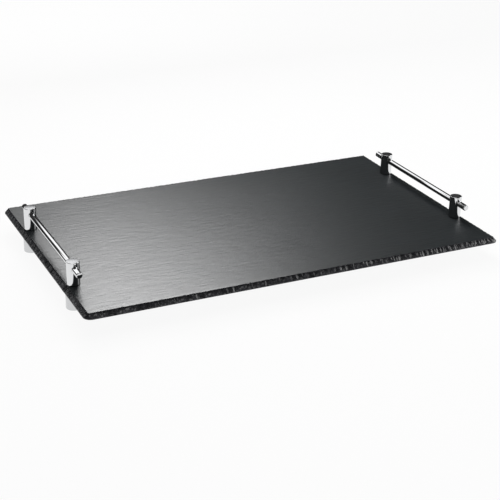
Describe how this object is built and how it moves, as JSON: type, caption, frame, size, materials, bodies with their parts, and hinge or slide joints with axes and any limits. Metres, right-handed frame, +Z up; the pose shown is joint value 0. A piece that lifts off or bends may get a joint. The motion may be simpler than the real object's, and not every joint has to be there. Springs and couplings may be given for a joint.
{
  "type": "serving tray",
  "caption": "Flat rectangular serving tray with a sloping chipped edge, raised on feet, with a rod handle on posts at each short side.",
  "frame": {"origin": "on the table under the middle of the board, level with the bottom of the foot pads", "axes": "+X along the long side of the board, +Y towards the back long side, +Z up"},
  "size_m": [0.53, 0.325, 0.0575],
  "materials": {
    "slate_melamine": "moulded slate-look melamine, satin, fine linear grain",
    "chrome_fittings": "polished chrome plate",
    "steel_screws": "zinc-plated steel",
    "gasket_rubber": "thin matt rubber",
    "pad_rubber": "matt moulded rubber"
  },
  "bodies": {
    "root": {"board": "slate_melamine", "rod_left": "chrome_fittings", "rod_right": "chrome_fittings", "post_left_front": "chrome_fittings", "post_left_back": "chrome_fittings", "post_right_front": "chrome_fittings", "post_right_back": "chrome_fittings", "grub_screw_left_front": "steel_screws", "grub_screw_left_back": "steel_screws", "grub_screw_right_front": "steel_screws", "grub_screw_right_back": "steel_screws", "post_gasket_left_front": "gasket_rubber", "post_gasket_left_back": "gasket_rubber", "post_gasket_right_front": "gasket_rubber", "post_gasket_right_back": "gasket_rubber", "clamp_screw_left_front": "steel_screws", "clamp_screw_left_back": "steel_screws", "clamp_screw_right_front": "steel_screws", "clamp_screw_right_back": "steel_screws", "screw_washer_left_front": "steel_screws", "screw_washer_left_back": "steel_screws", "screw_washer_right_front": "steel_screws", "screw_washer_right_back": "steel_screws", "foot_left_front": "chrome_fittings", "foot_left_back": "chrome_fittings", "foot_right_front": "chrome_fittings", "foot_right_back": "chrome_fittings", "foot_pad_left_front": "pad_rubber", "foot_pad_left_back": "pad_rubber", "foot_pad_right_front": "pad_rubber", "foot_pad_right_back": "pad_rubber"}
  },
  "joints": []
}
